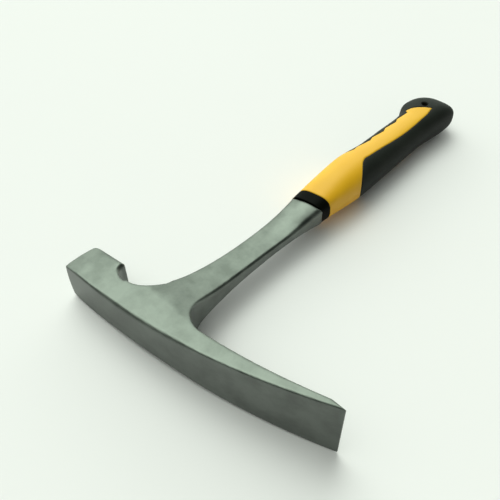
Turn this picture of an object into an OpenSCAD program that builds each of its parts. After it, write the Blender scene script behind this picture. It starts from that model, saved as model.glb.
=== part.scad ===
// Rock hammer: a flat-mouth mason's pattern with a square poll.
// The head, shank and tang are one steel forging, and the grip is moulded onto the tang.
// The hammer lies on its side. +X runs from the head to the butt of the grip, +Y towards
// the striking face and +Z up. The origin is under the middle of the hammer, at its lowest level.
// Units are millimetres.

// Node to draw on its own, or all of them

/* [Head] */
// Distance from the shank's centre line to the striking face
face_reach = 68.5; // [62:0.5:76]
// Distance from the shank's centre line to the cutting edge
edge_reach = 106.5; // [98:0.5:116]
// Radius of the long curve over the top of the head
crown_r = 440; // [400:1:600]
// Place along the head where that curve reaches furthest forward
crown_apex = 50; // [45:1:60]
// How far forward it reaches there, ahead of the zero of all distances along the hammer
crown_front = 4.7; // [3.7:0.1:5.7]
// Thickness of the head and of the poll, side to side
head_t = 28; // [25:0.5:30]
// Depth of the poll behind its striking face
poll_depth = 21.1; // [19:0.1:22]
// Growth of that depth by the back of the poll
poll_flare = 2.4; // [0:0.1:3]
// Length of the bevels round the striking face
face_bevel_len = 11.5; // [5:0.5:13]
// Depth of the bevels round the striking face
face_bevel_depth = 2.1; // [0.5:0.1:2.5]
// Distance from the shank's centre line to the back of the poll
poll_back = 41.6; // [40.6:0.1:43]
// Radius of the notch between the poll and the neck
notch_r = 7.8; // [6.8:0.1:8.2]
// Width of the cutting edge
edge_w = 43.4; // [38:0.2:48]
// Depth of the blade where it leaves the neck
blade_root = 12.2; // [11:0.1:13]
// Depth of the blade where its sharpening bevel starts
blade_tip = 4.2; // [3:0.1:5]
// Length of the sharpening bevel
bevel_len = 8.5; // [6:0.5:12]
// Flat left on the cutting edge
edge_land = 0.5; // [0.3:0.1:1]

/* [Shank] */
// Radius of the inside corner between the blade and the shank
root_r = 17; // [15:0.5:18]
// Distance from the centre line to the shank's blade-side edge, next to the head
blade_side = 6.5; // [6:0.1:7.5]
// Distance from the centre line to its poll-side edge, where the shank is narrowest
poll_side = 10.3; // [9.5:0.1:11]
// Thickness that the shank's edges thin down to
shank_t = 6.4; // [5.6:0.2:8]
// Growth of the edges' half thickness from there to the collar
shank_spread = 1; // [0.4:0.1:2]
// Half thickness of the shank's domed middle where it meets the collar
bolster_top = 8.3; // [7:0.1:8.4]
// Radius of that dome
bolster_r = 32; // [26:1:36]

/* [Tang] */
// Width of the tang
tang_w = 12; // [10:0.5:12.5]
// Thickness of the tang
tang_t = 7; // [6:0.5:7.5]
// Distance along the hammer to the end of the tang
tang_end = 256; // [245:1:257]
// Diameter of the holes that key the grip to the tang
key_hole_d = 6; // [4:0.5:7]
// Number of those holes
key_holes = 3; // [2:1:4]

/* [Grip] */
// Distance along the hammer to the front of the collar
grip_front = 131.2; // [130.2:0.2:132.2]
// Length of the collar
collar_len = 8.3; // [6:0.1:9]
// Slant of the collar, as its lean towards the head per millimetre towards the poll side
collar_slant = 0.13; // [0:0.01:0.15]
// Distance along the hammer to the butt
grip_end = 287.3; // [286:0.1:292]
// Reach of the grip on its finger side, at the collar
finger_front = 12; // [11.8:0.1:12.6]
// Reach of the grip on its finger side, at the front swell
finger_swell = 14.9; // [14:0.1:16]
// Reach of the grip on its finger side, at the narrowest place
finger_waist = 10.3; // [9.8:0.1:11]
// Reach of the hook at the butt
finger_hook = 15.1; // [14.5:0.1:17]
// Reach of the grip on its palm side, at the collar
palm_front = 10.8; // [10.7:0.1:11.6]
// Reach of the grip on its palm side, along the pad
palm_pad = 15.3; // [14.5:0.1:16]
// Reach of the grip on its palm side, at the butt
palm_butt = 18.7; // [17.5:0.1:20]
// Thickness of the grip at the collar
thick_front = 17.2; // [17:0.1:18.4]
// Thickness of the grip at the front swell
thick_swell = 26.4; // [24:0.2:28]
// Thickness of the grip at the narrowest place
thick_waist = 23.6; // [22.4:0.2:26]
// Thickness of the grip at the butt
thick_butt = 24.6; // [22.6:0.2:27]
// Squareness of the grip's section, 2 for an ellipse
squareness = 2.3; // [2.2:0.1:2.8]
// Squareness of that section at the collar
collar_squareness = 3.1; // [2.9:0.1:3.5]
// Squareness of that section at the butt
butt_squareness = 3; // [2.4:0.1:3.2]
// Diameter of the lanyard hole
lanyard_d = 4.4; // [3.5:0.1:5]

/* [Seams] */
// Place of the palm pad's front corner
pad_corner = 183.5; // [181:0.5:186]
// Steepness of the pad's front seam, as rise over run
pad_slope = 0.73; // [0.6:0.01:1]
// Radius of the pad's front corner
pad_bend = 12; // [8:0.5:13]
// Distance from the centre line to the pad's long seam, at its front
pad_seam = 4.5; // [4:0.1:5.5]
// Drift of that seam towards the palm
seam_drift = 4; // [2.5:0.1:4.5]
// Place of the yellow panel's tip
panel_tip = 266; // [264:0.5:267]
// Radius of the panel's curved end
tip_r = 30; // [28:1:36]
// Distance from the centre line to the finger strip's seam
strip_seam = 4; // [3.6:0.1:5]
// Depth of the teeth in that seam
tooth_depth = 2; // [0:0.1:2.4]
// Length of one tooth
tooth_len = 15.1; // [14:0.1:17]

/* [Hidden] */
$fn = 64;
shade_steel = [0.56, 0.59, 0.57];
shade_black = [0.14, 0.15, 0.15];
shade_yellow = [0.95, 0.72, 0.16];

// Head
mid_x = (grip_end - crown_front) / 2;
mid_y = (face_reach - edge_reach) / 2;
bevel_start = edge_reach - bevel_len;
root_cy = blade_side + root_r;
notch_cx = 18;
notch_cy = poll_back - notch_r;
neck_r = 18.1;
neck_cx = 29.3;
neck_cy = 33.5;
flare_from = 25;
flare_bend = 40;

// Shank
neck_fall = 9.6;
neck_fall_from = 22;
neck_fall_len = 21.5;
far_side_from = 30;
narrowest_x = 98;
far_side_spread = 850;
near_side_from = 55;
near_side_spread = 1430;
thinnest_x = 90;
bolster_from = 102;

// Grip
collar_back = grip_front + collar_len;
tang_mid = -1.5;
tang_in_shank = 4;
butt_y = -7;
finger_end = 29;
palm_end = 12;
thick_end = 20;
pad_reach = 20;
pad_drop = pad_reach - pad_seam;
pad_front = pad_corner - pad_drop / pad_slope;
seam_drift_from = 176;
seam_drift_to = 236;
hook_cusp = 251;
strip_front = 188;
strip_level_to = 236;
strip_rise = 4.4;
tooth_peak = 0.68;
tip_from = 25;
tip_to = 62;
ring_points = 28;
core_front = pad_front - 2;
core_back = panel_tip - 5;
core_low_y = -10.5;
core_w = 17;
core_half_t = 8.5;
lanyard_at = [266.9, -0.6];
big = 400;

// ---- outlines of the forging -------------------------------------------------

// Top of the head, as a distance along the hammer, at a place along the head
function crown_x(y) = crown_r - crown_front - sqrt(crown_r * crown_r - pow(y - crown_apex, 2));

// Depth of the blade at a distance from the shank's centre line
function blade_depth(d) =
    blade_root + (blade_tip - blade_root) * (d - root_cy) / (bevel_start - root_cy);

// Points of an arc
function arc(cx, cy, r, a0, a1, n) =
    [for (i = [0:n]) [cx + r * cos(a0 + (a1 - a0) * i / n), cy + r * sin(a0 + (a1 - a0) * i / n)]];

// Centre of the inside corner between blade and shank
root_cx = crown_x(-root_cy) + blade_depth(root_cy) + root_r;

// Poll-side edge of the shank, a long hollow
function far_side_y(x) = poll_side + pow(x - narrowest_x, 2) / far_side_spread;

// Blade-side edge of the shank, which spreads towards the collar
function near_side_y(x) = -blade_side - pow(max(x - near_side_from, 0), 2) / near_side_spread;

// Half thickness of the neck and shank along their edges
function shank_half(x) =
    let (spread = max(0, (x - thinnest_x) / (grip_front - thinnest_x)))
    shank_t / 2 + neck_fall * exp((neck_fall_from - x) / neck_fall_len)
        + shank_spread * spread * spread;

// Underside of the poll
function poll_under_x(y) =
    poll_depth - crown_front + poll_flare * (face_reach - y) / (face_reach - poll_back);

module forging_plan() {
    face_corner = 1;
    poll_corner = 0.3;
    crown_from = face_reach - face_corner;
    crown = [for (i = [0:28]) let (y = crown_from - (crown_from + edge_reach) * i / 28)
        [crown_x(y), y]];
    edge = [[crown_x(-edge_reach) + edge_land, -edge_reach]];
    under = [for (i = [0:12]) let (d = bevel_start - (bevel_start - root_cy) * i / 12)
        [crown_x(-d) + blade_depth(d), -d]];
    root = arc(root_cx, -root_cy, root_r, 176, 92, 9);
    near_from = root_cx + 4;
    near_to = grip_front - collar_slant * near_side_y(grip_front);
    near_side = [for (i = [0:8]) let (x = near_from + (near_to - near_from) * i / 8)
        [x, near_side_y(x)]];
    far_from = grip_front - collar_slant * far_side_y(grip_front);
    far_side = [for (i = [0:12]) let (x = far_from + (far_side_from - far_from) * i / 12)
        [x, far_side_y(x)]];
    neck = arc(neck_cx, neck_cy, neck_r, 262, 184, 9);
    notch = arc(notch_cx, notch_cy, notch_r, 190, 93, 8);
    poll = [
        [poll_under_x(poll_back + poll_corner), poll_back + poll_corner],
        [poll_under_x(face_reach - face_bevel_len / 2), face_reach - face_bevel_len / 2],
        [poll_under_x(face_reach) - face_bevel_depth, face_reach],
        [crown_x(face_reach) + face_corner, face_reach]
    ];
    polygon(concat(crown, edge, under, root, near_side, far_side, neck, notch, poll));
}

// Side-to-side shape of the head, seen along the shank: even, then flaring to the cutting edge
module head_flare() {
    straight_len = edge_reach + flare_from - flare_bend;
    slope = (edge_w - head_t) / 2 / (straight_len + flare_bend / 2);
    bend = [for (i = [0:8]) let (s = flare_bend * i / 8)
        [flare_from - s, head_t / 2 + slope * s * s / (2 * flare_bend)]];
    one_side = concat(
        [[face_reach, head_t / 2 - face_bevel_depth], [face_reach - face_bevel_len, head_t / 2]],
        bend,
        [[-edge_reach, edge_w / 2]]
    );
    other_side = [for (i = [len(one_side) - 1:-1:0]) [one_side[i][0], -one_side[i][1]]];
    polygon(concat(one_side, other_side));
}

// Side-to-side shape of the neck and shank, seen along the head
module shank_taper() {
    from = -crown_front - 2;
    one_side = [for (i = [0:20]) let (x = from + (grip_front + 4 - from) * i / 20)
        [x, shank_half(x)]];
    other_side = [for (i = [len(one_side) - 1:-1:0]) [one_side[i][0], -one_side[i][1]]];
    polygon(concat(one_side, other_side));
}

// ---- forging -----------------------------------------------------------------

module plan_solid() {
    translate([0, 0, -big / 2])
        linear_extrude(big)
            forging_plan();
}

module flare_solid() {
    rotate([90, 0, 90])
        translate([0, 0, -big / 2])
            linear_extrude(big)
                head_flare();
}

module shank_solid() {
    rotate([90, 0, 0])
        translate([0, 0, -big / 2])
            linear_extrude(big)
                shank_taper();
}

// The part of the blade that the neck's fall does not reach
module blade_zone() {
    zone_w = 60;
    translate([-zone_w / 2, -edge_reach - 10, -big / 2])
        cube([zone_w, edge_reach + 10 - root_cy, big]);
}

// Dome over one face of the shank's end, as a round bar that climbs towards the collar
module bolster_dome() {
    length = grip_front - bolster_from;
    climb = atan((bolster_top - shank_t / 2) / length);
    middle_y = (near_side_y(grip_front) + far_side_y(grip_front)) / 2;
    over = 20;
    intersection() {
        plan_solid();
        translate([grip_front, middle_y, bolster_top - bolster_r / cos(climb)])
            rotate([0, 90 - climb, 0])
                translate([0, 0, -length - over])
                    cylinder(r = bolster_r, h = length + 2 * over);
        translate([bolster_from, -big / 2, 0])
            cube([length + over, big, big]);
    }
}

// Bar that carries the grip, from just inside the shank, with the holes that key the grip to it
module tang() {
    first_hole = 22;
    hole_pitch = (tang_end - collar_back - 20) / key_holes;
    difference() {
        translate([grip_front - tang_in_shank, tang_mid - tang_w / 2, -tang_t / 2])
            cube([tang_end - grip_front + tang_in_shank, tang_w, tang_t]);
        for (i = [0:key_holes - 1])
            translate([collar_back + first_hole + i * hole_pitch, tang_mid, -big / 2])
                cylinder(d = key_hole_d, h = big);
    }
}

module forging() {
    color(shade_steel)
        place()
            union() {
                intersection() {
                    plan_solid();
                    flare_solid();
                    union() {
                        shank_solid();
                        blade_zone();
                    }
                }
                bolster_dome();
                mirror([0, 0, 1])
                    bolster_dome();
                tang();
            }
}

// ---- grip --------------------------------------------------------------------

// Value between keys of [place, value], eased from each key to the next
function ease(x, keys, i = 0) =
    i > len(keys) - 2 ? keys[len(keys) - 1][1]
    : x <= keys[i][0] ? keys[i][1]
    : x < keys[i + 1][0] ? keys[i][1] + (keys[i + 1][1] - keys[i][1])
        * (1 - cos(180 * (x - keys[i][0]) / (keys[i + 1][0] - keys[i][0]))) / 2
    : ease(x, keys, i + 1);

finger_keys = [[118, finger_front - 0.4], [177, finger_swell], [205, finger_waist + 1.4],
    [217, finger_waist + 1.1], [249, finger_waist], [264, finger_hook]];
palm_keys = [[126, palm_front - 0.2], [178, palm_pad - 0.2], [240, palm_pad + 0.1],
    [286, palm_butt]];
thick_keys = [[126, thick_front / 2 - 0.1], [174, thick_swell / 2], [238, thick_waist / 2],
    [272, thick_butt / 2]];
square_keys = [[grip_front, collar_squareness], [165, squareness], [240, squareness],
    [268, butt_squareness]];
slant_keys = [[collar_back, collar_slant], [165, 0]];

// Share of the full section left at a place, for a rounded end of a given length
function end_round(x, length, power) =
    let (k = max(0, (x - grip_end + length) / length))
    pow(1 - pow(k, power), 1 / power);

// One ring of the grip's outer surface
function grip_ring(x) =
    let (
        finger = butt_y + (ease(x, finger_keys) - butt_y) * end_round(x, finger_end, 2.1),
        palm = (ease(x, palm_keys) + butt_y) * end_round(x, palm_end, 3) - butt_y,
        half_w = (finger + palm) / 2,
        half_t = ease(x, thick_keys) * end_round(x, thick_end, 2.2),
        power = 2 / ease(x, square_keys),
        slant = ease(x, slant_keys)
    )
    [for (i = [0:ring_points - 1]) let (
            c = cos(i * 360 / ring_points),
            s = sin(i * 360 / ring_points),
            y = (finger - palm) / 2 + half_w * sign(c) * pow(abs(c), power)
        ) [x - slant * y, y, half_t * sign(s) * pow(abs(s), power)]];

// The grip's whole outer form, from the collar's front to the butt
module grip_form() {
    body_to = grip_end - thick_end;
    body_rings = 26;
    end_rings = 9;
    places = concat(
        [for (i = [0:body_rings]) grip_front + (body_to - grip_front) * i / body_rings],
        [for (i = [1:end_rings]) body_to + thick_end * sin(i * 84 / end_rings)]
    );
    rings = [for (x = places) grip_ring(x)];
    n = len(rings[0]);
    last = len(rings) - 1;
    points = [for (r = rings) each r];
    sides = [for (k = [0:last - 1]) for (i = [0:n - 1]) let (j = (i + 1) % n)
        each [[k * n + i, (k + 1) * n + j, k * n + j], [k * n + i, (k + 1) * n + i, (k + 1) * n + j]]];
    front_cap = [[for (i = [0:n - 1]) i]];
    back_cap = [[for (i = [n - 1:-1:0]) last * n + i]];
    polyhedron(points, concat(sides, front_cap, back_cap));
}

// Rigid core under the soft parts, around the tang
module core() {
    translate([core_front, core_low_y, -core_half_t])
        cube([core_back - core_front, core_w, 2 * core_half_t]);
}

// The palm pad's long seam, which drifts towards the palm along its front part
function seam_y(x) =
    let (t = min(1, max(0, (x - seam_drift_from) / (seam_drift_to - seam_drift_from))))
    -pad_seam - seam_drift * t * t * (3 - 2 * t);

// The finger strip's seam: a row of teeth, rising towards the strip's front end
function strip_y(x) =
    let (
        run = (hook_cusp - x) / tooth_len,
        tooth = run - floor(run),
        rise = max(0, (strip_level_to - x) / (strip_level_to - strip_front))
    )
    strip_seam + strip_rise * pow(rise, 3) + tooth_depth
        * min(tooth / tooth_peak, (1 - tooth) / (1 - tooth_peak));

// Outline of the yellow shell seen from the side: all round at the front, a pointed panel behind
module panel_outline() {
    out = 40;
    slant = atan(pad_slope);
    corner_x = pad_corner + pad_bend * tan(slant / 2);
    front = [[grip_front - 5, -out], [pad_front, -out], [pad_front, -pad_seam - pad_drop]];
    corner = arc(corner_x, -pad_seam - pad_bend, pad_bend, 90 + slant, 90, 4);
    long_from = corner_x + 2;
    long_to = panel_tip - 8;
    long_seam = [for (i = [0:8]) let (x = long_from + (long_to - long_from) * i / 8)
        [x, seam_y(x)]];
    tip_y = 1.2 - pad_seam - seam_drift;
    tip = arc(panel_tip - tip_r * cos(tip_from), tip_y - tip_r * sin(tip_from), tip_r,
        tip_from, tip_to, 6);
    turns = ceil((hook_cusp - strip_front) / tooth_len * 2);
    strip = [for (i = [0:turns]) let (
            tooth = floor(i / 2),
            x = hook_cusp - tooth_len * (i % 2 == 0 ? tooth : tooth + tooth_peak)
        ) if (x > strip_front) [x, strip_y(x - 0.001)]];
    strip_end = [[strip_front - 3, 12], [strip_front - 5, 18], [strip_front - 5, out]];
    polygon(concat(front, corner, long_seam, tip, strip, strip_end, [[grip_front - 5, out]]));
}

module shell_space() {
    translate([0, 0, -big / 2])
        linear_extrude(big)
            panel_outline();
    core();
}

module collar_space() {
    translate([collar_back, 0, 0])
        rotate([0, 0, atan(collar_slant)])
            translate([-collar_len - 5, -big / 2, -big / 2])
                cube([collar_len + 5, big, big]);
}

module front_collar() {
    color(shade_black)
        place()
            difference() {
                intersection() {
                    grip_form();
                    collar_space();
                }
                tang();
            }
}

module grip_shell() {
    color(shade_yellow)
        place()
            difference() {
                intersection() {
                    grip_form();
                    shell_space();
                }
                collar_space();
                tang();
            }
}

module soft_grip() {
    color(shade_black)
        place()
            difference() {
                grip_form();
                shell_space();
                translate([lanyard_at[0], lanyard_at[1], -big / 2])
                    cylinder(d = lanyard_d, h = big);
            }
}

// Moves the hammer from its shank's centre line to the part's origin
module place() {
    translate([-mid_x, -mid_y, edge_w / 2])
        children();
}

forging();
front_collar();
grip_shell();
soft_grip();
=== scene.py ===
"""Looks of the rock hammer: forged steel head and shank, and a moulded two-colour grip.

Shapes are worked out in millimetres along the hammer's own lines, where x runs from the top of the
head to the butt, y from the blade to the poll and z across the hammer's thickness, all measured from
the shank's centre line. place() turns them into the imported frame's metres.
"""
import math

import bpy
import numpy as np
from mathutils import Matrix, Vector


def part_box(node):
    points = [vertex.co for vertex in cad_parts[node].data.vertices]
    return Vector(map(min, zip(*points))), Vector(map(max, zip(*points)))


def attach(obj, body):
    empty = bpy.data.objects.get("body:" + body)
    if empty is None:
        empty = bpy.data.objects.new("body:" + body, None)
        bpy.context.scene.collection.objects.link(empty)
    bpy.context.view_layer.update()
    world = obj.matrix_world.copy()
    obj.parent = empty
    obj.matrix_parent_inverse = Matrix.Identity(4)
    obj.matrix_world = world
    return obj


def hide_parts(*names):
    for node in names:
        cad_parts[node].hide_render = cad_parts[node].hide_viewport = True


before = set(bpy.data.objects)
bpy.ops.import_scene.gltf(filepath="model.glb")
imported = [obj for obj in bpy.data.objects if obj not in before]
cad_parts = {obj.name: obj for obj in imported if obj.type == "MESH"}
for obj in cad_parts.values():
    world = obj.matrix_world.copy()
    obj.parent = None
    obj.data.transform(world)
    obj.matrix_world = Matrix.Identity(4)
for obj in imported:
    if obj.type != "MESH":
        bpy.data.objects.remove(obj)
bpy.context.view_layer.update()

# Metres in a millimetre
MM = 0.001

# Head, as the CAD has it
FACE_REACH = 68.5
EDGE_REACH = 106.5
CROWN_FRONT = 4.7
CROWN_R = 440.0
CROWN_APEX = 50.0
HEAD_HALF = 14.0
EDGE_HALF = 21.7
POLL_DEPTH = 21.1
POLL_FLARE = 2.4
POLL_BACK = 41.6
FACE_BEVEL_LEN = 11.5
FACE_BEVEL_DEPTH = 2.1
FACE_CROWN_R = 55.0
FACE_CENTRE_X = 2.5
FACE_HALF = 19.0
NOTCH_R = 7.8
NOTCH_X = 18.0
NECK_R = 18.1
NECK_X = 29.3
NECK_Y = 33.5
BLADE_ROOT = 12.2
BLADE_TIP = 4.2
BEVEL_LEN = 8.5
EDGE_LAND = 0.5
FLARE_FROM = 25.0
FLARE_BEND = 40.0

# Shank and tang
ROOT_R = 17.0
BLADE_SIDE = 6.5
BLADE_SIDE_FROM = 55.0
BLADE_SIDE_SPREAD = 1430.0
POLL_SIDE = 10.3
POLL_SIDE_AT = 98.0
POLL_SIDE_SPREAD = 850.0
SHANK_HALF_T = 3.2
NECK_FALL = 9.6
NECK_FALL_FROM = 22.0
NECK_FALL_LEN = 21.5
SHANK_SPREAD_FROM = 90.0
SHANK_SPREAD = 1.0
BOLSTER_FROM = 102.0
BOLSTER_TOP = 8.3
BOLSTER_R = 32.0
TANG_HALF_W = 6.0
TANG_HALF_T = 3.5
TANG_MID = -1.5
TANG_END = 256.0
EDGE_ROUND = 1.1

# Grip
GRIP_FRONT = 131.2
COLLAR_LEN = 8.3
COLLAR_SLANT = 0.13
SLANT_END = 165.0
GRIP_END = 287.3
SQUARE_KEYS = ((131.2, 3.1), (165, 2.3), (240, 2.3), (268, 3.0))
FINGER_KEYS = ((118, 11.6), (177, 14.9), (205, 11.7), (217, 11.4), (249, 10.3), (264, 15.1))
PALM_KEYS = ((126, 10.6), (178, 15.1), (240, 15.4), (286, 18.7))
THICK_KEYS = ((126, 8.5), (174, 13.2), (238, 11.8), (272, 12.3))
BUTT_Y = -7.0
FINGER_END = 29.0
PALM_END = 12.0
THICK_END = 20.0
PAD_FROM = 158.0
PAD_SLOPE = 0.73
PAD_CORNER = 183.5
PAD_BEND = 12.0
PAD_SEAM = 4.5
PAD_REACH = 20.0
SEAM_DRIFT = 4.0
SEAM_DRIFT_FROM = 176.0
SEAM_DRIFT_TO = 236.0
PANEL_TIP = 266.0
TIP_R = 30.0
TIP_ARC = (25, 62)
TIP_RISE = 1.2
STRIP_SEAM = 4.0
STRIP_FRONT = 188.0
STRIP_RISE = 4.4
STRIP_LEVEL_TO = 236.0
HOOK_CUSP = 251.0
TOOTH_DEPTH = 2.0
TOOTH_LEN = 15.1
TOOTH_PEAK = 0.68
SEAM_LIP = 0.8
SEAM_DEPTH = 0.45
COLLAR_LIP = 0.6
COLLAR_LIP_DEPTH = 0.5
GRIP_STEP = 0.42
GRIP_TURNS = 260
LANYARD_R = 2.2
LANYARD_X = 266.9
LANYARD_Y = -0.6


# ---- helpers -----------------------------------------------------------------

def place(points):
    """Points on the hammer's own lines, in millimetres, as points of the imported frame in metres."""
    low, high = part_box("forging")
    origin = np.array([low.x + CROWN_FRONT * MM, high.y - FACE_REACH * MM, (low.z + high.z) / 2])
    return np.asarray(points, float) * MM + origin


def mesh_object(name, points, faces, smooth=True):
    mesh = bpy.data.meshes.new(name)
    mesh.from_pydata([tuple(p) for p in points], [], [tuple(int(i) for i in f) for f in faces])
    mesh.validate()
    mesh.update()
    if smooth:
        mesh.shade_smooth()
    obj = bpy.data.objects.new(name, mesh)
    bpy.context.scene.collection.objects.link(obj)
    return obj


def arc(cx, cy, r, start, stop, count):
    """Points of an arc, with its angles in degrees."""
    turns = np.radians(np.linspace(start, stop, count))
    return np.column_stack([cx + r * np.cos(turns), cy + r * np.sin(turns)])


def ease(x, keys):
    """Value between keys of (place, value), eased from each key to the next."""
    places = np.array([k[0] for k in keys], float)
    values = np.array([k[1] for k in keys], float)
    x = np.asarray(x, float)
    i = np.clip(np.searchsorted(places, x) - 1, 0, len(keys) - 2)
    share = np.clip((x - places[i]) / (places[i + 1] - places[i]), 0, 1)
    return values[i] + (values[i + 1] - values[i]) * (1 - np.cos(np.pi * share)) / 2


def smooth_step(x, low, high):
    share = np.clip((x - low) / (high - low), 0, 1)
    return share * share * (3 - 2 * share)


def outline_distance(x, y, outline):
    """Distance from each point to a closed outline, below zero inside it."""
    px, py = np.ravel(x), np.ravel(y)
    nearest = np.full(px.shape, np.inf)
    inside = np.zeros(px.shape, bool)
    for (ax, ay), (bx, by) in zip(outline, np.roll(outline, -1, axis=0)):
        dx, dy = bx - ax, by - ay
        length2 = dx * dx + dy * dy
        if length2 == 0:
            continue
        share = np.clip(((px - ax) * dx + (py - ay) * dy) / length2, 0, 1)
        gap = (px - ax - share * dx) ** 2 + (py - ay - share * dy) ** 2
        np.minimum(nearest, gap, out=nearest)
        if ay != by:
            crosses = (ay > py) != (by > py)
            inside ^= crosses & (px < ax + dx * (py - ay) / dy)
    distance = np.sqrt(nearest)
    distance[inside] *= -1
    return distance.reshape(np.shape(x))


def rounded_both(a, b, r):
    """Distance to what lies inside both a and b, with the edge between them rounded to radius r."""
    outer = np.hypot(np.maximum(a + r, 0), np.maximum(b + r, 0))
    return np.minimum(np.maximum(a, b) + r, 0) + outer - r


def smooth_min(a, b, blend):
    share = np.clip(0.5 + 0.5 * (b - a) / blend, 0, 1)
    return b + (a - b) * share - blend * share * (1 - share)


def surface_net(axes, field):
    """Quads round the places where field is below zero, on a grid with the given axes."""
    shape = np.array(field.shape)
    inside = field < 0
    cells = shape - 1
    total = np.zeros(tuple(cells) + (3,), np.float32)
    hits = np.zeros(tuple(cells), np.float32)
    quads = []
    number = np.full(tuple(cells), -1, np.int64)
    crossings = []
    for axis in range(3):
        a = [slice(None)] * 3
        b = [slice(None)] * 3
        a[axis], b[axis] = slice(0, -1), slice(1, None)
        low, high = field[tuple(a)], field[tuple(b)]
        crossed = inside[tuple(a)] != inside[tuple(b)]
        at = np.argwhere(crossed)
        share = low[crossed] / (low[crossed] - high[crossed])
        point = np.column_stack([axes[k][at[:, k]] for k in range(3)])
        step = axes[axis][at[:, axis] + 1] - axes[axis][at[:, axis]]
        point[:, axis] += share * step
        u, v = (axis + 1) % 3, (axis + 2) % 3
        around = []
        for du, dv in ((0, 0), (1, 0), (1, 1), (0, 1)):
            cell = at.copy()
            cell[:, u] -= du
            cell[:, v] -= dv
            index = tuple(cell.T)
            np.add.at(total, index, point)
            np.add.at(hits, index, 1)
            around.append(cell)
        crossings.append((around, low[crossed] < 0))
    used = hits > 0
    number[used] = np.arange(used.sum())
    points = total[used] / hits[used][:, None]
    for around, starts_inside in crossings:
        ring = np.column_stack([number[tuple(c.T)] for c in around])
        ring[~starts_inside] = ring[~starts_inside][:, ::-1]
        quads.append(ring)
    return points.astype(float), np.vstack(quads)


# ---- forging -----------------------------------------------------------------

def crown_x(y):
    """Top of the head at a place along it."""
    return CROWN_R - CROWN_FRONT - np.sqrt(CROWN_R ** 2 - (y - CROWN_APEX) ** 2)


def root_corner():
    """Centre of the inside corner between blade and shank."""
    y = -BLADE_SIDE - ROOT_R
    return crown_x(y) + BLADE_ROOT + ROOT_R, y


def blade_depth(d):
    root = BLADE_SIDE + ROOT_R
    return BLADE_ROOT + (BLADE_TIP - BLADE_ROOT) * (d - root) / (EDGE_REACH - BEVEL_LEN - root)


def poll_under_x(y):
    return POLL_DEPTH - CROWN_FRONT + POLL_FLARE * (FACE_REACH - y) / (FACE_REACH - POLL_BACK)


def blade_side_y(x):
    return -BLADE_SIDE - np.maximum(x - BLADE_SIDE_FROM, 0) ** 2 / BLADE_SIDE_SPREAD


def poll_side_y(x):
    return POLL_SIDE + (x - POLL_SIDE_AT) ** 2 / POLL_SIDE_SPREAD


def steel_outline():
    """The forging seen from its side, without the tang."""
    over = 6.0
    poll_side_from = 30
    bevel_middle = 6
    end_drop = 1.6
    shank_end = GRIP_FRONT + 0.8
    root_x, root_y = root_corner()
    y = np.linspace(FACE_REACH + over, -EDGE_REACH, 90)
    crown = np.column_stack([crown_x(y), y])
    edge = np.array([[crown_x(-EDGE_REACH) + EDGE_LAND, -EDGE_REACH]])
    d = np.linspace(EDGE_REACH - BEVEL_LEN, 1 - root_y, 40)
    under = np.column_stack([crown_x(-d) + blade_depth(d), -d])
    root = arc(root_x, root_y, ROOT_R, 176, 90, 30)
    x = np.linspace(root_x + 4, shank_end - COLLAR_SLANT * blade_side_y(shank_end), 30)
    blade_side = np.column_stack([x, blade_side_y(x)])
    x = np.linspace(shank_end - COLLAR_SLANT * poll_side_y(shank_end), poll_side_from, 40)
    poll_side = np.column_stack([x, poll_side_y(x)])
    neck = arc(NECK_X, NECK_Y, NECK_R, 262, 184, 26)
    notch = arc(NOTCH_X, POLL_BACK - NOTCH_R, NOTCH_R, 190, 93, 26)
    y = np.array([POLL_BACK + 0.3, FACE_REACH - bevel_middle])
    poll = np.column_stack([poll_under_x(y), y])
    end_x = poll_under_x(FACE_REACH) - end_drop
    poll_end = np.array([[end_x, FACE_REACH], [end_x - end_drop, FACE_REACH + over]])
    return np.vstack([crown, edge, under, root, blade_side, poll_side, neck, notch, poll, poll_end])


def head_half(y):
    """Half thickness of the head: even at the poll, then flaring to the cutting edge."""
    straight = EDGE_REACH + FLARE_FROM - FLARE_BEND
    slope = (EDGE_HALF - HEAD_HALF) / (straight + FLARE_BEND / 2)
    run = np.maximum(FLARE_FROM - y, 0)
    bend = slope * np.minimum(run, FLARE_BEND) ** 2 / (2 * FLARE_BEND)
    return HEAD_HALF + bend + slope * np.maximum(run - FLARE_BEND, 0)


def shank_half(x):
    """Half thickness of the neck and shank: falling from the head, then spreading to the collar."""
    spread = np.clip((x - SHANK_SPREAD_FROM) / (GRIP_FRONT - SHANK_SPREAD_FROM), 0, 1)
    fall = np.exp((NECK_FALL_FROM - x) / NECK_FALL_LEN)
    return SHANK_HALF_T + NECK_FALL * fall + SHANK_SPREAD * spread ** 2


def bolster_half(x, y):
    """Half thickness of the domed swelling that meets the collar."""
    slope = (BOLSTER_TOP - SHANK_HALF_T) / (GRIP_FRONT - BOLSTER_FROM)
    top = BOLSTER_TOP - slope * (GRIP_FRONT - x)
    off_middle = y - (blade_side_y(x) + poll_side_y(x)) / 2
    return top - off_middle ** 2 / (2 * BOLSTER_R)


def steel_half(x, y):
    """Half thickness of the forging at a place of its outline."""
    off_neck = np.maximum(smooth_step(-y, 15, 60), smooth_step(y, 24, 40)) * 30
    neck = smooth_min(-shank_half(x) + 0 * y, -bolster_half(x, y), 1.5)
    return smooth_min(head_half(y) + 0 * x, -neck + off_neck, 2.6)


def edge_round(x, y):
    """Radius of the forging's long edges, larger along the shank, under the poll and mid-crown."""
    shank = smooth_step(x, 20, 40) * 0.9 + smooth_step(x, 100, 130) * 0.9
    poll = smooth_step(x, 9, 14) * smooth_step(y, 36, 42) * 1.5
    crown = smooth_step(-x, -6, -2) * smooth_step(y, -40, -10) * smooth_step(-y, -50, -25) * 1.2
    return EDGE_ROUND + shank + poll + crown


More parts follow.
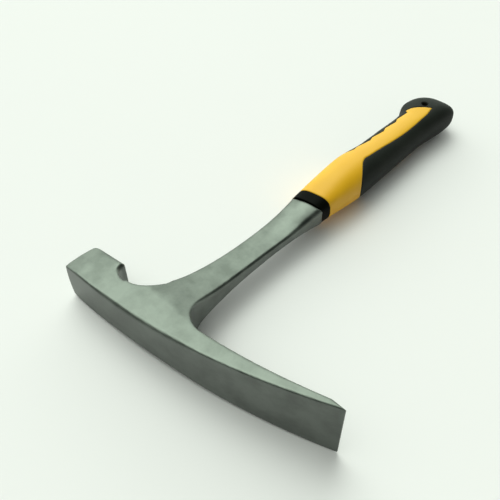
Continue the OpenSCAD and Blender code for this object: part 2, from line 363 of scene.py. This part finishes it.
def forging_field(x, y, z):
    """Distance to the forging on a grid of places, below zero inside it."""
    flat_x, flat_y = np.meshgrid(x, y, indexing="ij")
    plan = outline_distance(flat_x, flat_y, steel_outline())[:, :, None]
    thick = np.abs(z)[None, None, :] - steel_half(flat_x, flat_y)[:, :, None]
    solid = rounded_both(plan, thick, edge_round(flat_x, flat_y)[:, :, None])

    tilt = math.atan2(FACE_BEVEL_DEPTH, FACE_BEVEL_LEN)
    bevel = ((y - FACE_REACH + FACE_BEVEL_LEN) * math.sin(tilt))[None, :, None] \
        + (np.abs(z) - HEAD_HALF)[None, None, :] * math.cos(tilt)
    solid = rounded_both(solid, bevel, 0.6)
    off_centre = np.minimum(np.hypot((x - FACE_CENTRE_X)[:, None, None], z[None, None, :]), FACE_HALF)
    face = (y - FACE_REACH)[None, :, None] + off_centre ** 2 / (2 * FACE_CROWN_R)
    solid = rounded_both(solid, face, 1.3)

    tang_plan = np.maximum(np.abs(y - TANG_MID)[None, :] - TANG_HALF_W,
                           np.abs(x - (GRIP_FRONT + TANG_END) / 2)[:, None] - (TANG_END - GRIP_FRONT) / 2)
    tang = rounded_both(tang_plan[:, :, None], (np.abs(z) - TANG_HALF_T)[None, None, :], 0.6)
    return np.minimum(solid, tang)


def forging():
    """Head, shank and tang as one smooth closed mesh."""
    coarse, fine = 0.62, 0.3
    notch_from, notch_to, neck_from = 20, 26.8, 27
    edge_to = -94
    x = np.concatenate([np.arange(-CROWN_FRONT - 1.5, notch_from, coarse),
                        np.arange(notch_from, notch_to, fine),
                        np.arange(neck_from, TANG_END + 2, coarse)])
    y = np.concatenate([np.arange(-EDGE_REACH - 1.2, edge_to, fine),
                        np.arange(edge_to, FACE_REACH + 2, coarse)])
    z = np.arange(-EDGE_HALF - 1, EDGE_HALF + 1.3, coarse)
    field = forging_field(x, y, z).astype(np.float32)
    points, quads = surface_net((x, y, z), field)
    obj = mesh_object("forged_head", place(points), quads)
    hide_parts("forging")
    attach(obj, "root")
    return obj


# ---- grip --------------------------------------------------------------------

def end_round(x, length, power):
    """Share of the full section left at a place, for the rounded butt."""
    share = np.clip((x - GRIP_END + length) / length, 0, 1)
    return (1 - share ** power) ** (1 / power)


def grip_surface(x, turn, inset=0.0):
    """Points of the grip's outer surface at places along it and turns round it, drawn in by inset."""
    finger = BUTT_Y + (ease(x, FINGER_KEYS) - BUTT_Y) * end_round(x, FINGER_END, 2.1)
    palm = -BUTT_Y + (ease(x, PALM_KEYS) + BUTT_Y) * end_round(x, PALM_END, 3)
    half_w = (finger + palm) / 2 - inset
    half_t = ease(x, THICK_KEYS) * end_round(x, THICK_END, 2.2) - inset
    c, s = np.cos(turn), np.sin(turn)
    power = 2 / ease(x, SQUARE_KEYS)
    y = (finger - palm) / 2 + np.maximum(half_w, 0.02) * np.sign(c) * np.abs(c) ** power
    z = np.maximum(half_t, 0.02) * np.sign(s) * np.abs(s) ** power
    slant = COLLAR_SLANT * (1 - smooth_step(x, GRIP_FRONT + COLLAR_LEN, SLANT_END))
    return np.stack([x - slant * y, y, z], axis=-1)


def seam_y(x):
    """The palm pad's long seam."""
    return -PAD_SEAM - SEAM_DRIFT * smooth_step(x, SEAM_DRIFT_FROM, SEAM_DRIFT_TO)


def strip_y(x):
    """The finger strip's seam: rising towards its front end, with a row of teeth."""
    tooth = np.mod(HOOK_CUSP - x, TOOTH_LEN) / TOOTH_LEN
    rise = STRIP_RISE * np.clip((STRIP_LEVEL_TO - x) / (STRIP_LEVEL_TO - STRIP_FRONT), 0, 1) ** 3
    return STRIP_SEAM + rise + TOOTH_DEPTH * np.minimum(tooth / TOOTH_PEAK, (1 - tooth) / (1 - TOOTH_PEAK))


def panel_outline():
    """The yellow shell seen from its side: all round at the front, a pointed panel behind."""
    out = 60.0
    slant = math.atan2(PAD_SLOPE, 1)
    turn = PAD_BEND * math.tan(slant / 2)
    corner = arc(PAD_CORNER + turn, -PAD_SEAM - PAD_BEND, PAD_BEND, 90 + math.degrees(slant), 90, 10)
    drop = PAD_REACH - PAD_SEAM
    front_x = PAD_CORNER - drop / PAD_SLOPE
    pad_front = [[front_x, -out], [front_x, -PAD_SEAM - drop]]
    x = np.linspace(PAD_CORNER + turn + 2, PANEL_TIP - 8, 40)
    long_seam = np.column_stack([x, seam_y(x)])
    tip_y = -PAD_SEAM - SEAM_DRIFT + TIP_RISE
    tip_turn = math.radians(TIP_ARC[0])
    tip = arc(PANEL_TIP - TIP_R * math.cos(tip_turn), tip_y - TIP_R * math.sin(tip_turn), TIP_R, *TIP_ARC, 20)
    x = np.linspace(HOOK_CUSP, STRIP_FRONT, 200)
    strip = np.column_stack([x, strip_y(x)])
    front = [[STRIP_FRONT - 3, 12], [STRIP_FRONT - 5, 18], [STRIP_FRONT - 5, out], [GRIP_FRONT, out]]
    return np.vstack([[[GRIP_FRONT, -out]], pad_front, corner, long_seam, tip, strip, front])


def rounded_lip(d, width, depth):
    """How far a surface is drawn in at distance d from its own edge: nothing beyond width."""
    share = np.clip(d / width, 0, 1)
    return depth * (1 - np.sqrt(1 - (1 - share) ** 2))


def loft(name, points):
    """Closed mesh through rings of points, with a fan at each end."""
    rings, around = points.shape[:2]
    flat = points.reshape(-1, 3)
    k, i = np.meshgrid(np.arange(rings - 1), np.arange(around), indexing="ij")
    j = (i + 1) % around
    quads = np.stack([k * around + i, k * around + j, (k + 1) * around + j, (k + 1) * around + i], -1)
    faces = [tuple(q) for q in quads.reshape(-1, 4)]
    centres = np.array([points[0].mean(0), points[-1].mean(0)])
    first, last = len(flat), len(flat) + 1
    end = (rings - 1) * around
    for i in range(around):
        j = (i + 1) % around
        faces.append((first, j, i))
        faces.append((last, end + i, end + j))
    return mesh_object(name, place(np.vstack([flat, centres])), faces)


def grip_grid(start, stop, step, around, rounded_end=False):
    """Places along the grip and turns round it, closer together over the rounded butt."""
    if rounded_end:
        body = np.arange(start, GRIP_END - THICK_END, step)
        end = GRIP_END - THICK_END + THICK_END * np.sin(np.linspace(0, math.pi / 2, 64))
        x = np.concatenate([body, end])
    else:
        x = np.linspace(start, stop, int((stop - start) / step) + 2)
    turn = np.linspace(0, 2 * math.pi, around, endpoint=False)
    return np.meshgrid(x, turn, indexing="ij")


def grip_shell():
    """Yellow shell, which goes on under the soft parts as their core."""
    x, turn = grip_grid(GRIP_FRONT + COLLAR_LEN, PANEL_TIP + 0.2, GRIP_STEP, GRIP_TURNS)
    plain = grip_surface(x, turn)
    d = -outline_distance(plain[..., 0], plain[..., 1], panel_outline())
    inset = np.where(d > 0, rounded_lip(d, SEAM_LIP, SEAM_DEPTH), SEAM_DEPTH + 2.0 * smooth_step(-d, 0, 1.6))
    inset = np.maximum(inset, rounded_lip(x - GRIP_FRONT - COLLAR_LEN, 0.9, 0.5))
    obj = loft("yellow_grip_shell", grip_surface(x, turn, inset))
    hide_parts("grip_shell")
    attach(obj, "root")
    return obj


def cut_lanyard_hole(obj):
    """Cuts the cord's hole through the butt, with softened rims."""
    rim = 0.9
    half_t = float(ease(LANYARD_X, THICK_KEYS) * end_round(LANYARD_X, THICK_END, 2.2))
    up = np.concatenate([[half_t + 3], half_t + 0.1 - rim * np.linspace(0, 1, 7)])
    radius = LANYARD_R + np.concatenate([[rim], rim * (1 - np.cos(np.linspace(math.pi / 2, 0, 7)))])
    height = np.concatenate([-up, up[::-1]])
    radius = np.concatenate([radius, radius[::-1]])
    turn = np.linspace(0, -2 * math.pi, 48, endpoint=False)
    ring_x = LANYARD_X + radius[:, None] * np.cos(turn)
    ring_y = LANYARD_Y + radius[:, None] * np.sin(turn)
    ring_z = height[:, None] + 0 * ring_x
    cutter = loft("cutter", np.stack([ring_x, ring_y, ring_z], -1)[::-1])
    cut = obj.modifiers.new("lanyard_hole", "BOOLEAN")
    cut.operation = "DIFFERENCE"
    cut.object = cutter
    graph = bpy.context.evaluated_depsgraph_get()
    mesh = bpy.data.meshes.new_from_object(obj.evaluated_get(graph))
    obj.modifiers.clear()
    obj.data = mesh
    bpy.data.objects.remove(cutter)


def soft_grip():
    """Black palm pad, finger strip and butt, moulded over the shell."""
    x, turn = grip_grid(PAD_FROM, GRIP_END, GRIP_STEP, GRIP_TURNS, rounded_end=True)
    plain = grip_surface(x, turn)
    d = outline_distance(plain[..., 0], plain[..., 1], panel_outline())
    inset = np.where(d > 0, rounded_lip(d, SEAM_LIP, SEAM_DEPTH), SEAM_DEPTH + 3.0 * smooth_step(-d, 0, 1.2))
    obj = loft("black_soft_grip", grip_surface(x, turn, inset))
    cut_lanyard_hole(obj)
    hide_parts("soft_grip")
    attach(obj, "root")
    return obj


def front_collar():
    """Black ring at the front of the grip."""
    lip = np.linspace(0, 1, 9)
    back = GRIP_FRONT + COLLAR_LEN
    x = np.concatenate([GRIP_FRONT + COLLAR_LIP * (1 - np.cos(lip * math.pi / 2)),
                        np.linspace(GRIP_FRONT + 1.5 * COLLAR_LIP, back - COLLAR_LIP, 14),
                        back - COLLAR_LIP + COLLAR_LIP * lip[1:]])
    turn = np.linspace(0, 2 * math.pi, 200, endpoint=False)
    x, turn = np.meshgrid(x, turn, indexing="ij")
    front_lip = rounded_lip(x - GRIP_FRONT, COLLAR_LIP, COLLAR_LIP_DEPTH)
    back_lip = rounded_lip(back - x, COLLAR_LIP, COLLAR_LIP_DEPTH)
    inset = front_lip + back_lip
    obj = loft("black_collar", grip_surface(x, turn, inset))
    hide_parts("front_collar")
    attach(obj, "root")
    return obj


# ---- materials ---------------------------------------------------------------

class Nodes:
    """A small helper for building one node material."""

    def __init__(self, name):
        self.material = bpy.data.materials.new(name)
        self.material.use_nodes = True
        self.tree = self.material.node_tree
        self.shader = self.tree.nodes["Principled BSDF"]
        self.coordinates = self.tree.nodes.new("ShaderNodeTexCoord").outputs["Object"]

    def noise(self, scale, detail=3.0, roughness=0.5):
        node = self.tree.nodes.new("ShaderNodeTexNoise")
        node.inputs["Scale"].default_value = scale
        node.inputs["Detail"].default_value = detail
        node.inputs["Roughness"].default_value = roughness
        self.tree.links.new(self.coordinates, node.inputs["Vector"])
        return node.outputs["Fac"]

    def ramp(self, value, *stops):
        """Colour ramp from stops of (position, colour)."""
        node = self.tree.nodes.new("ShaderNodeValToRGB")
        elements = node.color_ramp.elements
        while len(elements) < len(stops):
            elements.new(0.5)
        for element, (position, colour) in zip(elements, stops):
            element.position = position
            element.color = (*colour, 1)
        self.tree.links.new(value, node.inputs["Fac"])
        return node.outputs["Color"]

    def span(self, value, from_low, from_high, to_low, to_high):
        node = self.tree.nodes.new("ShaderNodeMapRange")
        for i, number in enumerate((from_low, from_high, to_low, to_high), start=1):
            node.inputs[i].default_value = number
        self.tree.links.new(value, node.inputs[0])
        return node.outputs["Result"]

    def bump(self, height, distance, strength=1.0, under=None):
        node = self.tree.nodes.new("ShaderNodeBump")
        node.inputs["Distance"].default_value = distance
        node.inputs["Strength"].default_value = strength
        self.tree.links.new(height, node.inputs["Height"])
        if under is not None:
            self.tree.links.new(under, node.inputs["Normal"])
        return node.outputs["Normal"]

    def set(self, **sockets):
        """Sets or links the shader's inputs, with underscores for spaces."""
        for name, value in sockets.items():
            socket = self.shader.inputs[name.replace("_", " ")]
            if isinstance(value, bpy.types.NodeSocket):
                self.tree.links.new(value, socket)
            else:
                socket.default_value = value


def forged_steel():
    n = Nodes("satin_forged_steel")
    blotch = n.noise(70, 4, 0.6)
    grain = n.noise(1900, 3, 0.6)
    waves = n.noise(120, 2, 0.5)
    colour = n.ramp(blotch, (0.35, (0.110, 0.121, 0.110)), (0.62, (0.166, 0.182, 0.166)))
    rough = n.span(blotch, 0.35, 0.65, 0.36, 0.46)
    normal = n.bump(waves, 0.00018, 0.5)
    normal = n.bump(grain, 0.00002, 0.5, normal)
    n.set(Base_Color=colour, Roughness=rough, Normal=normal, Metallic=1.0)
    return n.material


def yellow_plastic():
    n = Nodes("yellow_moulded_plastic")
    tone = n.noise(45, 2, 0.5)
    skin = n.noise(900, 2, 0.5)
    colour = n.ramp(tone, (0.3, (0.82, 0.415, 0.009)), (0.7, (0.86, 0.45, 0.012)))
    rough = n.span(skin, 0.3, 0.7, 0.42, 0.5)
    n.set(Base_Color=colour, Roughness=rough, Normal=n.bump(skin, 0.00003, 0.4))
    n.set(Specular_IOR_Level=0.38)
    return n.material


def soft_black():
    n = Nodes("black_soft_plastic")
    tone = n.noise(60, 3, 0.5)
    grain = n.noise(1500, 2, 0.55)
    colour = n.ramp(tone, (0.3, (0.009, 0.011, 0.009)), (0.7, (0.014, 0.016, 0.013)))
    rough = n.span(grain, 0.3, 0.7, 0.52, 0.66)
    n.set(Base_Color=colour, Roughness=rough, Normal=n.bump(grain, 0.00006, 0.6))
    n.set(Specular_IOR_Level=0.14)
    return n.material


def collar_black():
    n = Nodes("black_collar_plastic")
    grain = n.noise(1100, 2, 0.5)
    colour = n.ramp(grain, (0.3, (0.0015, 0.002, 0.0015)), (0.7, (0.003, 0.0035, 0.0025)))
    rough = n.span(grain, 0.3, 0.7, 0.4, 0.5)
    n.set(Base_Color=colour, Roughness=rough, Normal=n.bump(grain, 0.00003, 0.4))
    n.set(Specular_IOR_Level=0.03)
    return n.material


def floor_paint():
    n = Nodes("white_floor")
    tone = n.noise(3, 2, 0.5)
    colour = n.ramp(tone, (0.3, (0.87, 0.825, 0.86)), (0.7, (0.88, 0.835, 0.87)))
    n.set(Base_Color=colour, Roughness=0.8)
    return n.material


# ---- stage -------------------------------------------------------------------

def resting_points():
    """The three places where the hammer touches the floor that it lies on."""
    butt_overhang = 11.5
    under_poll = 18
    forged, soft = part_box("forging"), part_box("soft_grip")
    blade = Vector((place([crown_x(-EDGE_REACH), 0, 0])[0], forged[0].y, forged[0].z))
    poll = Vector(place([crown_x(FACE_REACH) + under_poll, FACE_REACH - FACE_BEVEL_LEN, -HEAD_HALF]))
    butt = Vector((soft[1].x - butt_overhang * MM, (soft[0].y + soft[1].y) / 2, soft[0].z))
    return blade, poll, butt


def lay_floor():
    """A wide white floor through the three resting points."""
    size = 6.0
    blade, poll, butt = resting_points()
    across = (butt - blade).normalized()
    up = across.cross(poll - blade).normalized()
    along = up.cross(across)
    centre = (blade + poll + butt) / 3
    signs = ((-1, -1), (1, -1), (1, 1), (-1, 1))
    corners = [centre + size * (a * across + b * along) for a, b in signs]
    floor = mesh_object("floor", corners, [(0, 1, 2, 3)], smooth=False)
    floor.data.materials.append(floor_paint())


def set_camera():
    """Camera looking down over the top of the head, towards the butt."""
    turn, down, roll = math.radians(42.84), math.radians(47.29), math.radians(0.8)
    distance = 0.3729
    target = Vector(place([82.3, 4.6, 0]))
    forward = Vector((math.cos(down) * math.cos(turn), math.cos(down) * math.sin(turn), -math.sin(down)))
    right = forward.cross(Vector((0, 0, 1))).normalized()
    up = right.cross(forward)
    tilted_right = right * math.cos(roll) - up * math.sin(roll)
    tilted_up = tilted_right.cross(forward)
    data = bpy.data.cameras.new("camera")
    data.lens = 44.64
    data.sensor_width = 36
    data.clip_start = 0.01
    camera = bpy.data.objects.new("camera", data)
    rotation = Matrix((tilted_right, tilted_up, -forward)).transposed()
    camera.matrix_world = Matrix.Translation(target - forward * distance) @ rotation.to_4x4()
    bpy.context.scene.collection.objects.link(camera)
    bpy.context.scene.camera = camera


def world_ramp(tree, value, from_low, stops):
    """Ramp of brightness over value, which runs from from_low to 1."""
    spread = tree.nodes.new("ShaderNodeMapRange")
    spread.inputs["From Min"].default_value = from_low
    tree.links.new(value, spread.inputs["Value"])
    shade = tree.nodes.new("ShaderNodeValToRGB")
    elements = shade.color_ramp.elements
    while len(elements) < len(stops):
        elements.new(0.5)
    for element, (place_in_ramp, colour) in zip(elements, stops):
        element.position = (place_in_ramp - from_low) / (1 - from_low)
        element.color = (*colour, 1)
    tree.links.new(spread.outputs["Result"], shade.inputs["Fac"])
    return shade.outputs["Color"]


def set_lights():
    """A studio that is bright overhead and beyond the butt, and dark in front of the head and low down."""
    world = bpy.data.worlds.new("studio")
    bpy.context.scene.world = world
    world.use_nodes = True
    tree = world.node_tree
    direction = tree.nodes.new("ShaderNodeTexCoord").outputs["Generated"]
    apart = tree.nodes.new("ShaderNodeSeparateXYZ")
    tree.links.new(direction, apart.inputs[0])
    heights = ((0.0, 0.06), (0.2, 0.36), (0.42, 0.5), (0.64, 0.27), (0.77, 0.68), (0.86, 1.12), (1.0, 1.08))
    tinted = [(h, (0.89 * v, v, 0.88 * v)) for h, v in heights]
    by_height = world_ramp(tree, apart.outputs["Z"], 0.0, tinted)
    behind = tree.nodes.new("ShaderNodeVectorMath")
    behind.operation = "DOT_PRODUCT"
    behind.inputs[1].default_value = (0.9, 0.44, 0)
    tree.links.new(direction, behind.inputs[0])
    sides = ((-1.0, 0.1), (-0.6, 0.12), (-0.3, 0.26), (0.0, 0.38), (0.35, 1.0))
    by_side = world_ramp(tree, behind.outputs["Value"], -1.0, [(h, (v, v, v)) for h, v in sides])
    screen = tree.nodes.new("ShaderNodeVectorMath")
    screen.operation = "DOT_PRODUCT"
    screen.inputs[1].default_value = (0.542, -0.454, 0.707)
    tree.links.new(direction, screen.inputs[0])
    shades = ((-1.0, 1.0), (0.68, 1.0), (0.84, 0.02))
    by_screen = world_ramp(tree, screen.outputs["Value"], -1.0, [(h, (v, v, v)) for h, v in shades])
    light = tree.nodes.new("ShaderNodeVectorMath")
    light.operation = "MULTIPLY"
    tree.links.new(by_height, light.inputs[0])
    tree.links.new(by_side, light.inputs[1])
    screened = tree.nodes.new("ShaderNodeVectorMath")
    screened.operation = "MULTIPLY"
    tree.links.new(light.outputs["Vector"], screened.inputs[0])
    tree.links.new(by_screen, screened.inputs[1])
    background = tree.nodes["Background"]
    tree.links.new(screened.outputs["Vector"], background.inputs["Color"])
    background.inputs["Strength"].default_value = 5.4


def main():
    pieces = (
        (forging(), forged_steel()),
        (front_collar(), collar_black()),
        (grip_shell(), yellow_plastic()),
        (soft_grip(), soft_black()),
    )
    for piece, material in pieces:
        piece.data.materials.append(material)
    lay_floor()
    set_camera()
    set_lights()
    bpy.context.scene.view_settings.view_transform = "Standard"


main()
